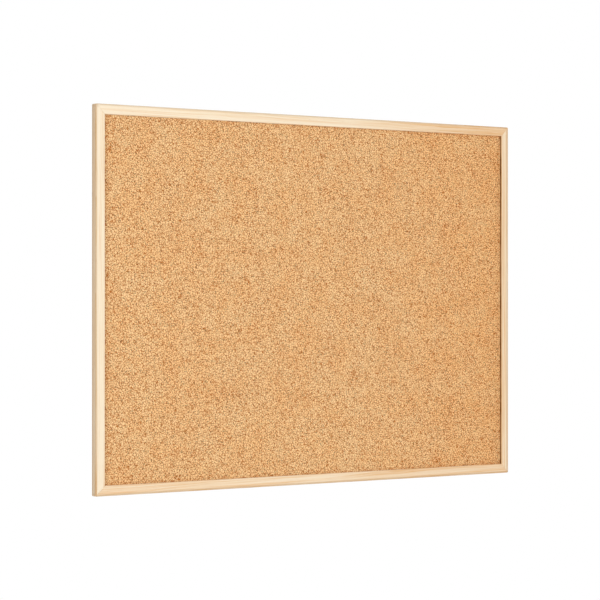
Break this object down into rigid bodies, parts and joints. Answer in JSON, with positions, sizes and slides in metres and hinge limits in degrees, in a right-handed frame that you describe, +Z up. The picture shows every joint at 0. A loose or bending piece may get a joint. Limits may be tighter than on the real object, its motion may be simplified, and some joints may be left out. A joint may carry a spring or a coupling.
{
  "type": "pin badge board",
  "caption": "Cork pin board in a slim mitred pine frame, with a softboard core, steel points and nails behind it, and swinging D-rings that hang it on a wall.",
  "frame": {"origin": "the middle of the top rail's back face, where the board meets the wall", "axes": "+Z up, +X to the right seen from the front, +Y back into the wall, so the cork faces -Y"},
  "size_m": [0.6, 0.0133, 0.45],
  "materials": {
    "pine": "pale bare pine, sanded, with fine grain along each rail",
    "cork": "pressed cork granules, matt, tan with dark specks",
    "softboard": "matt brown wood-fibre board",
    "kraft": "matt brown kraft paper",
    "steel": "plain spring steel strip",
    "zinc": "bright zinc plate"
  },
  "bodies": {
    "board": {"top_rail": "pine", "bottom_rail": "pine", "left_stile": "pine", "right_stile": "pine", "cork_sheet": "cork", "softboard_core": "softboard", "kraft_liner": "kraft", "v_nail_top_left_outer": "steel", "v_nail_top_left_inner": "steel", "v_nail_top_right_outer": "steel", "v_nail_top_right_inner": "steel", "v_nail_bottom_left_outer": "steel", "v_nail_bottom_left_inner": "steel", "v_nail_bottom_right_outer": "steel", "v_nail_bottom_right_inner": "steel", "top_rail_point_1": "steel", "top_rail_point_2": "steel", "top_rail_point_3": "steel", "top_rail_point_4": "steel", "bottom_rail_point_1": "steel", "bottom_rail_point_2": "steel", "bottom_rail_point_3": "steel", "bottom_rail_point_4": "steel", "left_stile_point_1": "steel", "left_stile_point_2": "steel", "left_stile_point_3": "steel", "right_stile_point_1": "steel", "right_stile_point_2": "steel", "right_stile_point_3": "steel", "left_hanger_strap": "zinc", "left_hanger_screw": "zinc", "right_hanger_strap": "zinc", "right_hanger_screw": "zinc"},
    "left_ring": {"left_hanger_ring": "zinc"},
    "right_ring": {"right_hanger_ring": "zinc"}
  },
  "joints": [
    {"name": "left_ring_swing", "type": "hinge", "parent": "board", "child": "left_ring", "pos_m": [-0.2945, 0.00165, -0.0955], "axis": [1, 0, 0], "range_deg": [0, 180]},
    {"name": "right_ring_swing", "type": "hinge", "parent": "board", "child": "right_ring", "pos_m": [0.2945, 0.00165, -0.0955], "axis": [1, 0, 0], "range_deg": [0, 180]}
  ]
}
